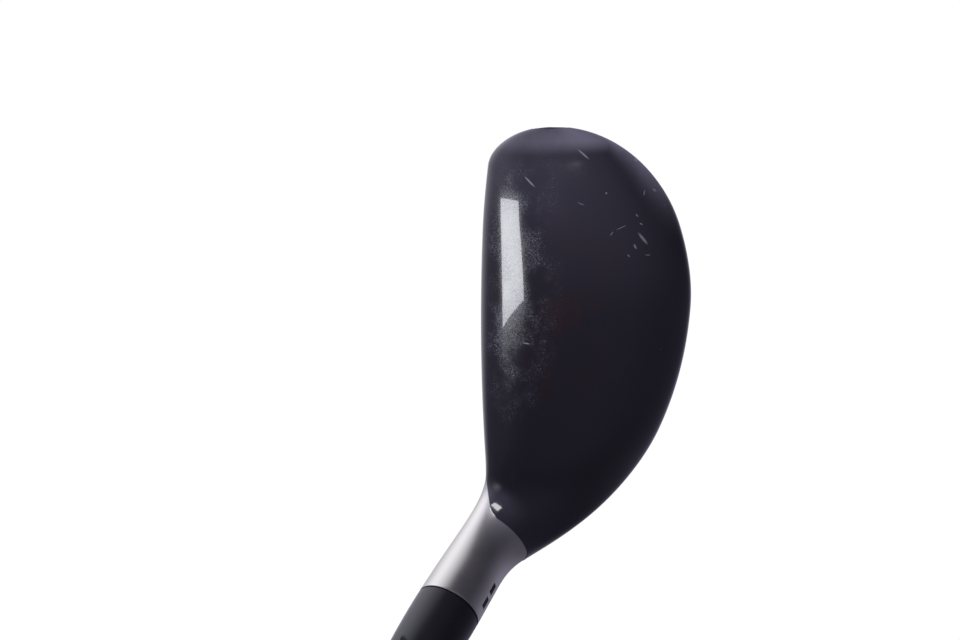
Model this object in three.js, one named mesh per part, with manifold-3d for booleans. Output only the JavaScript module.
// A hybrid golf club, soled on the ground at address.
// Millimetres, +Z up. The toe points to -X, the heel and the shaft lean to +X,
// the face looks to -Y. The origin is the middle of the flat on the sole.
import * as THREE from "three";
import { mergeVertices } from "three/addons/utils/BufferGeometryUtils.js";
import Module from "manifold-3d";

const wasm = await Module();
wasm.setup();

// ---------------------------------------------------------------- whole club, mm
const LIE = THREE.MathUtils.degToRad(60);
const LOFT = THREE.MathUtils.degToRad(22);
const CLUB_LENGTH = 1003;
const SHAFT_PLANE_Y = -9;
const ROUND_SEGMENTS = 32;
const FIT_GAP = 0.3;

// ---------------------------------------------------------------- head outline
const TOE_X = -43.5;
const TOE_Y = 5;
const TOE_Z = 23.6;
const TOE_ROUND_FRONT = 7.9;
const TOE_ROUND_REAR = 40;
const TOE_ROUND_TOP = 22;
const TOE_ROUND_SOLE = 30;
const TOPLINE_Y = -11.4;
const TOPLINE_MID_X = 17;
const FACE_BULGE_RADIUS = 690;
const REAR_Y = 31.4;
const REAR_MID_X = -13;
const REAR_FALL = 25;
const REAR_FALL_REACH = 60;
const REAR_FALL_POWER = 2.19;
const TOP_Z = 30;
const TOP_MID_X = 15;
const TOP_RADIUS = 460;
const CROWN_RISE = 2.8;
const REAR_EDGE_Z = 10;
const REAR_EDGE_SLOPE = 0.04;
const SOLE_Z = -0.6;
const SOLE_TOE_X = -4;
const SOLE_TOE_RADIUS = 110;
const SOLE_HEEL_X = 12;
const SOLE_HEEL_RADIUS = 110;
const LEADING_EDGE_UP = 1.5;

// ---------------------------------------------------------------- spine and hosel
const SPINE_Z = 20;
const ELBOW_X = 22.5;
const ELBOW_LENGTH = 32;
const NECK_FROM = 66;
const NECK_TO = 110;
const FACE_HEEL_STATION = 66;
const FACE_HEEL_BLEND = 25;
const FLARE_FROM = 92;
const HOSEL_END = 115;
const NECK_RADIUS = 6.75;
const HOSEL_RADIUS = 7.15;

// ---------------------------------------------------------------- walls and bores
const WALL = 2.8;
const FACE_WALL = 3.2;
const CAVITY_END = 76;
const CROWN_THICK = 1.1;
const CROWN_SEAM = { front: 3.12, rear: 8, toe: 0.9, heel: 94, sweepFrom: 5.8, sweep: 2.5 };
const CROWN_LEDGE = 3.5;
const CROWN_GAP = 0.35;
const FACE_THICK = 2.4;
const FACE_SEAM = { low: 0.55, high: 2.45, toe: 8, heel: 74 };
const GROOVES = { count: 9, toe: 22, heel: 62, low: 0.72, high: 2.2, width: 0.045, depth: 0.5 };
const BADGE = { rear: 10.35, front: 11.05, toe: 38, heel: 66, thick: 0.8 };
const BORE_RADIUS = 4.95;
const BORE_DEPTH = 22;
const PLUG_RADIUS = 2.7;
const PLUG_LENGTH = 5;
const BORE_TAIL_RADIUS = 3;
const BORE_TAIL_LENGTH = 6;
const WEIGHT = { station: 40, around: 9.55, headRadius: 6.4, headThick: 2.2, shankRadius: 4, length: 8.5 };
const PORT = { station: 17, around: 9.3, headRadius: 3, headThick: 2, shankRadius: 2, length: 6 };
const BOSS_WALL = 2.4;
const SOCKET_DEPTH = 1.6;

// ---------------------------------------------------------------- shaft and grip
const TIP_RADIUS = 4.65;
const TIP_PARALLEL = 100;
const BUTT_RADIUS = 7.6;
const SHAFT_TIP_WALL = 1.9;
const SHAFT_BUTT_WALL = 1.1;
const TIP_WEIGHT_LENGTH = 22;
const FERRULE_LENGTH = 25;
const FERRULE_TOP_RADIUS = 5.6;
const GRIP_LENGTH = 267;
const GRIP_MOUTH_RADIUS = 9.7;
const GRIP_BUTT_RADIUS = 13.4;
const GRIP_CAP_THICK = 4;
const VENT_RADIUS = 1.5;
const TAPE_THICK = 0.3;

// ================================================================ small helpers
const clamp01 = (t) => Math.min(Math.max(t, 0), 1);

// A smooth step from 0 to 1 that starts and ends flat.
function ease(t) {
  const c = clamp01(t);
  return c * c * c * (10 - 15 * c + 6 * c * c);
}

// A quarter ellipse from 0 to 1, which rounds the toe over.
function rounded(t) {
  return Math.sqrt(1 - (1 - clamp01(t)) ** 2);
}

// Numbers from a to b, both ends included. A crowding over 1 packs them toward a.
function spaced(a, b, count, crowding = 1) {
  return Array.from({ length: count + 1 }, (_, i) => a + (b - a) * (i / count) ** crowding);
}

function material(color, roughness, metalness) {
  return new THREE.MeshStandardMaterial({ color, roughness, metalness });
}

// ================================================================ solids
// A geometry with shared corners, turned round if its faces point inwards.
function closed(positions, triangles) {
  let volume = 0;
  const corner = triangles.map((i) => new THREE.Vector3().fromArray(positions, i * 3));
  for (let i = 0; i < corner.length; i += 3) {
    volume += corner[i].dot(corner[i + 1].clone().cross(corner[i + 2]));
  }
  const faces = volume > 0 ? triangles : [...triangles].reverse();
  const geometry = new THREE.BufferGeometry();
  geometry.setAttribute("position", new THREE.Float32BufferAttribute(positions, 3));
  geometry.setIndex(faces);
  return geometry;
}

function solid(geometry) {
  const bare = geometry.clone();
  bare.deleteAttribute("normal");
  bare.deleteAttribute("uv");
  const merged = mergeVertices(bare, 1e-3);
  const mesh = new wasm.Mesh({
    numProp: 3,
    vertProperties: merged.attributes.position.array,
    triVerts: new Uint32Array(merged.index.array),
  });
  return new wasm.Manifold(mesh);
}

function toGeometry(manifold) {
  const mesh = manifold.getMesh();
  const geometry = new THREE.BufferGeometry();
  geometry.setAttribute("position", new THREE.BufferAttribute(mesh.vertProperties, 3));
  geometry.setIndex(new THREE.BufferAttribute(mesh.triVerts, 1));
  const flat = geometry.toNonIndexed();
  flat.computeVertexNormals();
  return flat;
}

// A ring or rod turned about the Z axis from [radius, height] pairs.
function turned(profile, segments = ROUND_SEGMENTS) {
  const points = profile.map(([r, z]) => new THREE.Vector2(r, z));
  const lathe = new THREE.LatheGeometry(points, segments);
  lathe.rotateX(Math.PI / 2);
  lathe.deleteAttribute("normal");
  lathe.deleteAttribute("uv");
  const merged = mergeVertices(lathe, 1e-4);
  const kept = [];
  const index = merged.index.array;
  for (let i = 0; i < index.length; i += 3) {
    const [a, b, c] = [index[i], index[i + 1], index[i + 2]];
    if (a !== b && b !== c && c !== a) kept.push(a, b, c);
  }
  return closed(Array.from(merged.attributes.position.array), kept);
}

// ================================================================ the head's skin
// The spine runs along the head, bends up through the elbow and becomes the shaft axis.
function spineAt(station) {
  const start = ELBOW_X - TOE_X;
  const t = clamp01((station - start) / ELBOW_LENGTH);
  const steps = 24;
  const at = new THREE.Vector2(TOE_X + Math.min(station, start), SPINE_Z);
  for (let i = 0; i < steps && t > 0; i++) {
    const turn = LIE * ease((t * (i + 0.5)) / steps);
    at.x += (Math.cos(turn) * t * ELBOW_LENGTH) / steps;
    at.y += (Math.sin(turn) * t * ELBOW_LENGTH) / steps;
  }
  const past = Math.max(station - start - ELBOW_LENGTH, 0);
  at.x += Math.cos(LIE) * past;
  at.y += Math.sin(LIE) * past;
  return { x: at.x, z: at.y, turn: LIE * ease(t) };
}

// Control polygon of one cross-section, as [y, height above the spine] pairs:
// up the face, over the crown, round the rear edge and back along the sole.
// inset shrinks it, which gives the cavity inside the casting.
function sectionControls(station, inset, faceInset) {
  const x = TOE_X + station;
  const along = station - inset;
  const toeward = (value, pole, reach) => pole + (value - pole) * rounded(along / reach);
  const bulge = (x - TOPLINE_MID_X) ** 2 / (2 * FACE_BULGE_RADIUS);
  const fall = (Math.max(x - REAR_MID_X, 0) / REAR_FALL_REACH) ** REAR_FALL_POWER;
  const heelCamber = Math.max(x - SOLE_HEEL_X, 0) ** 2 / (2 * SOLE_HEEL_RADIUS);
  const toeCamber = Math.max(SOLE_TOE_X - x, 0) ** 2 / (2 * SOLE_TOE_RADIUS);
  const yFront = toeward(TOPLINE_Y + bulge + faceInset, TOE_Y, TOE_ROUND_FRONT);
  const yRear = toeward(REAR_Y - REAR_FALL * fall - inset, TOE_Y, TOE_ROUND_REAR);
  const topZ = TOP_Z - (x - TOP_MID_X) ** 2 / (2 * TOP_RADIUS);
  const zTop = toeward(topZ - inset, TOE_Z, TOE_ROUND_TOP);
  const zSole = toeward(SOLE_Z + heelCamber + toeCamber + inset, TOE_Z, TOE_ROUND_SOLE);
  const zRear = toeward(REAR_EDGE_Z + REAR_EDGE_SLOPE * (x - TOP_MID_X), TOE_Z, TOE_ROUND_TOP);
  const faceFade = ease(1 - (station - FACE_HEEL_STATION) / FACE_HEEL_BLEND);
  const lean = Math.tan(LOFT) * (zTop - zSole) * rounded(along / TOE_ROUND_FRONT) * faceFade;
  const yLead = yFront - lean;
  const zLead = zSole + LEADING_EDGE_UP * rounded(along / TOE_ROUND_SOLE);
  const rise = CROWN_RISE * rounded(along / TOE_ROUND_TOP) * rounded(along / TOE_ROUND_REAR);
  const deep = yRear - yFront;
  const mix = (a, b, t) => a + (b - a) * t;
  const design = [
    [yLead, zLead],
    [mix(yLead, yFront, 0.33), mix(zLead, zTop, 0.33)],
    [mix(yLead, yFront, 0.72), mix(zLead, zTop, 0.72)],
    [yFront, zTop],
    [yFront + 0.1 * deep, zTop + 0.75 * rise],
    [yFront + 0.34 * deep, mix(zTop, zRear, 0.03) + rise],
    [yFront + 0.62 * deep, mix(zTop, zRear, 0.28) + rise],
    [yFront + 0.86 * deep, mix(zTop, zRear, 0.64) + 0.9 * rise],
    [yRear, zRear],
    [yRear - 0.07 * deep, mix(zRear, zSole, 0.28)],
    [yRear - 0.3 * deep, mix(zRear, zSole, 0.8)],
    [yRear - 0.6 * deep, zSole],
    [mix(yLead, yRear, 0.22), zSole],
  ];
  const flare = Math.max((station - FLARE_FROM) / (HOSEL_END - FLARE_FROM), -0.2);
  const around = design.length;
  const tube = mix(NECK_RADIUS, HOSEL_RADIUS, flare) - inset;
  const polygonRadius = (3 * tube) / (2 + Math.cos((2 * Math.PI) / around));
  const toTube = ease((station - NECK_FROM) / (NECK_TO - NECK_FROM));
  const firstAngle = THREE.MathUtils.degToRad(218);
  return design.map(([y, z], i) => {
    const angle = firstAngle - (i * 2 * Math.PI) / around;
    const yTube = SHAFT_PLANE_Y + polygonRadius * Math.cos(angle);
    return [mix(y, yTube, toTube), mix(z - SPINE_Z, polygonRadius * Math.sin(angle), toTube)];
  });
}

// A point of the skin: cubic B-spline round the section's control polygon at `around`.
function skinPoint(station, around, inset = 0, faceInset = inset) {
  const controls = sectionControls(station, inset, faceInset);
  const n = controls.length;
  const cell = Math.floor(around);
  const t = around - cell;
  const weights = [
    (1 - t) ** 3 / 6,
    (3 * t ** 3 - 6 * t ** 2 + 4) / 6,
    (-3 * t ** 3 + 3 * t ** 2 + 3 * t + 1) / 6,
    t ** 3 / 6,
  ];
  let y = 0;
  let height = 0;
  weights.forEach((w, k) => {
    const control = controls[(((cell - 1 + k) % n) + n) % n];
    y += w * control[0];
    height += w * control[1];
  });
  const spine = spineAt(station);
  return new THREE.Vector3(
    spine.x - Math.sin(spine.turn) * height,
    y,
    spine.z + Math.cos(spine.turn) * height,
  );
}

// The outward normal of the skin, from the two directions that run along it.
function skinNormal(station, around) {
  const step = 0.05;
  const along = skinPoint(station + step, around).sub(skinPoint(station - step, around));
  const round = skinPoint(station, around + step).sub(skinPoint(station, around - step));
  return along.cross(round).normalize();
}

const SECTION_POINTS = 13;

// The closed skin between two stations, with a flat or pointed end at each.
function skinSolid(stations, perControl, inset = 0, faceInset = inset) {
  const ring = SECTION_POINTS * perControl;
  const positions = [];
  for (const station of stations) {
    for (let j = 0; j < ring; j++) {
      positions.push(...skinPoint(station, j / perControl, inset, faceInset).toArray());
    }
  }
  const middle = (first) => {
    const sum = new THREE.Vector3();
    for (let j = 0; j < ring; j++) {
      sum.add(new THREE.Vector3().fromArray(positions, (first + j) * 3));
    }
    return sum.divideScalar(ring);
  };
  const last = (stations.length - 1) * ring;
  const caps = [middle(0), middle(last)];
  const capAt = stations.length * ring;
  caps.forEach((p) => positions.push(...p.toArray()));
  const triangles = [];
  for (let j = 0; j < ring; j++) {
    const next = (j + 1) % ring;
    for (let i = 0; i < stations.length - 1; i++) {
      const [a, b] = [i * ring + j, i * ring + next];
      triangles.push(a, b, a + ring, b, b + ring, a + ring);
    }
    triangles.push(capAt, next, j, capAt + 1, last + j, last + next);
  }
  return closed(positions, triangles);
}

// A thick patch of skin. The station limits may change with the place round the section.
// grow pushes the four borders out along the skin, so a recess clears the piece in it.
function patch({ toe, heel, from, to, outward, inward, cells, ring, crowding = 1, grow = 0 }) {
  const at = (value, around) => (typeof value === "function" ? value(around) : value);
  const grid = spaced(from, to, ring).map((around) => {
    const stations = spaced(at(toe, around), at(heel, around), cells, crowding);
    return stations.map((station) => ({
      point: skinPoint(station, around),
      normal: skinNormal(station, around),
    }));
  });
  const pushed = (j, i) => {
    const here = grid[j][i].point;
    const besides = [];
    if (i === 0) besides.push(grid[j][1]);
    if (i === cells) besides.push(grid[j][cells - 1]);
    if (j === 0) besides.push(grid[1][i]);
    if (j === ring) besides.push(grid[ring - 1][i]);
    const out = here.clone();
    for (const beside of besides) {
      out.addScaledVector(here.clone().sub(beside.point).normalize(), grow);
    }
    return out;
  };
  const positions = [];
  for (const lift of [outward, -inward]) {
    grid.forEach((row, j) => {
      row.forEach(({ normal }, i) => {
        positions.push(...pushed(j, i).addScaledVector(normal, lift).toArray());
      });
    });
  }
  const row = cells + 1;
  const layer = row * (ring + 1);
  const triangles = [];
  const quad = (a, b, c, d) => triangles.push(a, b, c, a, c, d);
  for (let j = 0; j < ring; j++) {
    for (let i = 0; i < cells; i++) {
      const a = j * row + i;
      quad(a, a + 1, a + row + 1, a + row);
      quad(layer + a, layer + a + row, layer + a + row + 1, layer + a + 1);
    }
  }
  for (let i = 0; i < cells; i++) {
    const far = ring * row + i;
    quad(i, layer + i, layer + i + 1, i + 1);
    quad(far, far + 1, layer + far + 1, layer + far);
  }
  for (let j = 0; j < ring; j++) {
    const near = j * row;
    const far = near + cells;
    quad(near, near + row, layer + near + row, layer + near);
    quad(far, layer + far, layer + far + row, far + row);
  }
  return closed(positions, triangles);
}

// Moves a geometry built on the Z axis so its top sits on the skin, facing out.
function onSkin(geometry, station, around) {
  const normal = skinNormal(station, around);
  const turn = new THREE.Quaternion().setFromUnitVectors(new THREE.Vector3(0, 0, 1), normal);
  return geometry.applyQuaternion(turn).translate(...skinPoint(station, around).toArray());
}

// ================================================================ the shaft axis
const axisFoot = (() => {
  const end = spineAt(HOSEL_END);
  return new THREE.Vector3(end.x - end.z / Math.tan(LIE), SHAFT_PLANE_Y, 0);
})();
const hoselEndAt = spineAt(HOSEL_END).z / Math.sin(LIE);
const boreBottomAt = hoselEndAt - BORE_DEPTH;
const shaftTipAt = boreBottomAt + FIT_GAP;
const shaftButtAt = CLUB_LENGTH - GRIP_CAP_THICK - FIT_GAP;

// Stands a geometry built up the Z axis on the shaft axis, z = 0 at the ground.
function onShaft(geometry) {
  const y = new THREE.Vector3(0, 0, 1);
  const axis = new THREE.Vector3(Math.cos(LIE), 0, Math.sin(LIE));
  const turn = new THREE.Quaternion().setFromUnitVectors(y, axis);
  return geometry.applyQuaternion(turn).translate(...axisFoot.toArray());
}

// Outside radius of the shaft: straight at the tip, then an even taper to the butt.
function shaftRadius(at) {
  const t = clamp01((at - shaftTipAt - TIP_PARALLEL) / (shaftButtAt - shaftTipAt - TIP_PARALLEL));
  return TIP_RADIUS + (BUTT_RADIUS - TIP_RADIUS) * t;
}

// ================================================================ head pieces
// Where the crown stops: on a ring round the neck that sweeps back toward the topline.
function crownHeel(around) {
  const short = Math.max(CROWN_SEAM.sweepFrom - around, 0);
  return CROWN_SEAM.heel - CROWN_SEAM.sweep * short ** 2;
}

function crownPatch(grow, outward, inward) {
  return patch({
    toe: CROWN_SEAM.toe,
    heel: crownHeel,
    from: CROWN_SEAM.front,
    to: CROWN_SEAM.rear,
    outward,
    inward,
    cells: 24,
    ring: 16,
    crowding: 1.8,
    grow,
  });
}

function facePatch(grow, outward, inward) {
  return patch({
    toe: FACE_SEAM.toe,
    heel: FACE_SEAM.heel,
    from: FACE_SEAM.low,
    to: FACE_SEAM.high,
    outward,
    inward,
    cells: 16,
    ring: 6,
    grow,
  });
}

function badgePatch(grow, outward, inward) {
  return patch({
    toe: BADGE.toe,
    heel: BADGE.heel,
    from: BADGE.rear,
    to: BADGE.front,
    outward,
    inward,
    cells: 8,
    ring: 4,
    grow,
  });
}

// A screw-in slug: a flat head over a narrower shank, with its top at z = 0.
function slug({ headRadius, headThick, shankRadius, length }, grow = 0) {
  return turned([
    [0, grow * 4],
    [headRadius + grow, grow * 4],
    [headRadius + grow, -headThick - grow],
    [shankRadius + grow, -headThick - grow],
    [shankRadius + grow, -length - grow],
    [0, -length - grow],
  ]);
}

// A rod with as many flats as sides, from z = -depth to above the surface.
function socket(radius, sides, depth) {
  return turned([[0, 1], [radius, 1], [radius, -depth], [0, -depth]], sides);
}

function boss({ headRadius, length }) {
  const r = headRadius + BOSS_WALL;
  return turned([[0, 1], [r, 1], [r, -length - BOSS_WALL], [0, -length - BOSS_WALL]]);
}

// Everything of the head that lies above the flat ground on the sole.
function aboveGround() {
  const box = new THREE.BoxGeometry(300, 200, 200);
  return solid(box.translate(0, 0, 100));
}

function headStations() {
  const toe = [0, 0.5, 1.5, 3, 5, 7.5, 10.5, 14, 18.5];
  const body = spaced(24, 64, 7);
  const neck = spaced(68, 96, 8);
  return [...toe, ...body, ...neck, 102, 108, HOSEL_END];
}

function headBody() {
  const outer = solid(skinSolid(headStations(), 4));
  const cavityStations = [3.3, 4.5, 7, 11, 17, ...spaced(24, CAVITY_END, 9)];
  let cavity = solid(skinSolid(cavityStations, 2, WALL, FACE_WALL));
  for (const screw of [WEIGHT, PORT]) {
    cavity = cavity.subtract(solid(onSkin(boss(screw), screw.station, screw.around)));
  }
  let body = outer.subtract(cavity);
  body = body.subtract(solid(crownPatch(CROWN_GAP, 1.5, CROWN_THICK + CROWN_GAP)));
  body = body.subtract(solid(crownWindow()));
  body = body.subtract(solid(facePatch(FIT_GAP, 3, FACE_WALL + 3)));
  body = body.subtract(solid(badgePatch(FIT_GAP, 2, BADGE.thick + FIT_GAP)));
  for (const screw of [WEIGHT, PORT]) {
    body = body.subtract(solid(onSkin(slug(screw, FIT_GAP), screw.station, screw.around)));
  }
  body = body.subtract(solid(onShaft(hoselBore())));
  return toGeometry(body.intersect(aboveGround()));
}

// The opening under the crown, which leaves a ledge for the crown to sit on.
function crownWindow() {
  return patch({
    toe: CROWN_SEAM.toe + 2 * CROWN_LEDGE,
    heel: CAVITY_END - 8,
    from: CROWN_SEAM.front + CROWN_LEDGE / 9,
    to: CROWN_SEAM.rear - CROWN_LEDGE / 9,
    outward: 3,
    inward: WALL + 1.5,
    cells: 12,
    ring: 8,
  });
}

function hoselBore() {
  return turned([
    [0, boreBottomAt - BORE_TAIL_LENGTH],
    [BORE_TAIL_RADIUS, boreBottomAt - BORE_TAIL_LENGTH],
    [BORE_TAIL_RADIUS, boreBottomAt],
    [BORE_RADIUS, boreBottomAt],
    [BORE_RADIUS, hoselEndAt + 5],
    [0, hoselEndAt + 5],
  ]);
}

function crownShell() {
  return toGeometry(solid(crownPatch(0, 0, CROWN_THICK)));
}

// The face with its score lines, each a shallow channel that follows the bulge.
function facePlate() {
  let plate = solid(facePatch(0, 0, FACE_THICK));
  for (const around of spaced(GROOVES.low, GROOVES.high, GROOVES.count - 1)) {
    const channel = patch({
      toe: GROOVES.toe,
      heel: GROOVES.heel,
      from: around - GROOVES.width / 2,
      to: around + GROOVES.width / 2,
      outward: 1,
      inward: GROOVES.depth,
      cells: 4,
      ring: 1,
    });
    plate = plate.subtract(solid(channel));
  }
  return toGeometry(plate);
}

function soleBadge() {
  return toGeometry(solid(badgePatch(0, 0, BADGE.thick)).intersect(aboveGround()));
}

function rearWeight() {
  const whole = solid(onSkin(slug(WEIGHT), WEIGHT.station, WEIGHT.around));
  const key = solid(onSkin(socket(2.6, 6, SOCKET_DEPTH), WEIGHT.station, WEIGHT.around));
  return toGeometry(whole.subtract(key));
}

function portScrew() {
  const whole = solid(onSkin(slug(PORT), PORT.station, PORT.around));
  const key = solid(onSkin(socket(1.3, 6, SOCKET_DEPTH), PORT.station, PORT.around));
  return toGeometry(whole.subtract(key));
}

// A short plug that keeps glue out of the pilot hole under the bore.
function hoselPlug() {
  const [low, high] = [boreBottomAt - PLUG_LENGTH - FIT_GAP, boreBottomAt - FIT_GAP];
  return onShaft(turned([[0, low], [PLUG_RADIUS, low], [PLUG_RADIUS, high], [0, high]]));
}

// ================================================================ shaft pieces
// A sleeve on the hosel end, level with the hosel and slimming to the shaft.
function ferrule() {
  const foot = hoselEndAt + FIT_GAP;
  const bore = TIP_RADIUS + FIT_GAP;
  const profile = [[bore, foot]];
  for (const t of spaced(0, 1, 8)) {
    const radius = HOSEL_RADIUS - (HOSEL_RADIUS - FERRULE_TOP_RADIUS) * t ** 2.2;
    profile.push([radius, foot + FERRULE_LENGTH * t]);
  }
  profile.push([bore, foot + FERRULE_LENGTH], [bore, foot]);
  return onShaft(turned(profile));
}

function shaft() {
  const stations = spaced(shaftTipAt, shaftButtAt, 10);
  const outside = stations.map((at) => [shaftRadius(at), at]);
  const inside = stations.map((at, i) => {
    const wall = SHAFT_TIP_WALL + ((SHAFT_BUTT_WALL - SHAFT_TIP_WALL) * i) / 10;
    return [shaftRadius(at) - wall, at];
  });
  return onShaft(turned([...outside, ...inside.reverse(), outside[0]]));
}

// A brass rod glued inside the shaft tip.
function tipWeight() {
  const radius = TIP_RADIUS - SHAFT_TIP_WALL - FIT_GAP;
  const [low, high] = [shaftTipAt + 1, shaftTipAt + 1 + TIP_WEIGHT_LENGTH];
  return onShaft(turned([[0, low], [radius, low], [radius, high], [0, high]], 20));
}

function gripTape() {
  const low = CLUB_LENGTH - GRIP_LENGTH + 5;
  const ends = [low, shaftButtAt - 2];
  const inside = ends.map((at) => [shaftRadius(at) + 0.2, at]);
  const outside = ends.map((at) => [shaftRadius(at) + 0.2 + TAPE_THICK, at]);
  return onShaft(turned([...inside, ...outside.reverse(), inside[0]]));
}

// The rubber sleeve: a slow taper, a rounded mouth and a thick cap with a vent.
function grip() {
  const mouth = CLUB_LENGTH - GRIP_LENGTH;
  const clear = TAPE_THICK + 0.4;
  const rim = 3;
  const profile = [
    [shaftRadius(mouth) + clear, mouth],
    [GRIP_MOUTH_RADIUS - 0.8, mouth],
    [GRIP_MOUTH_RADIUS, mouth + 1.5],
  ];
  for (const t of spaced(0.1, 1, 9)) {
    const radius = GRIP_MOUTH_RADIUS + (GRIP_BUTT_RADIUS - 1 - GRIP_MOUTH_RADIUS) * t ** 1.15;
    profile.push([radius, mouth + (GRIP_LENGTH - 3 * rim) * t]);
  }
  profile.push(
    [GRIP_BUTT_RADIUS, CLUB_LENGTH - 2 * rim],
    [GRIP_BUTT_RADIUS, CLUB_LENGTH - rim],
    [GRIP_BUTT_RADIUS - 0.9, CLUB_LENGTH - 0.9],
    [GRIP_BUTT_RADIUS - rim, CLUB_LENGTH],
    [VENT_RADIUS, CLUB_LENGTH],
    [VENT_RADIUS, CLUB_LENGTH - GRIP_CAP_THICK],
    [shaftRadius(shaftButtAt) + clear, CLUB_LENGTH - GRIP_CAP_THICK],
    [shaftRadius(mouth) + clear, mouth],
  );
  return onShaft(turned(profile));
}

// ================================================================ the club
const club = new THREE.Group();
club.name = "hybrid_golf_club";

const satinSteel = () => material(0xb9b4ac, 0.35, 1);

function add(name, geometry, look) {
  const mesh = new THREE.Mesh(geometry, look);
  mesh.name = name;
  club.add(mesh);
}

add("head_body", headBody(), satinSteel());
add("crown_shell", crownShell(), material(0x17161a, 0.15, 0.2));
add("face_plate", facePlate(), material(0xa8a6a2, 0.4, 1));
add("sole_badge", soleBadge(), material(0x8d8f92, 0.3, 1));
add("rear_weight", rearWeight(), material(0x6f6c68, 0.35, 1));
add("port_screw", portScrew(), material(0x9a9a9c, 0.3, 1));
add("hosel_plug", hoselPlug(), material(0x3c3c3c, 0.8, 0));
add("ferrule", ferrule(), material(0x0d0d0e, 0.12, 0));
add("shaft", shaft(), material(0x1c1d20, 0.25, 0));
add("tip_weight", tipWeight(), material(0xb08d4a, 0.35, 1));
add("grip_tape", gripTape(), material(0xd8cfae, 0.8, 0));
add("grip", grip(), material(0x1a1a1a, 0.9, 0));

export default club;
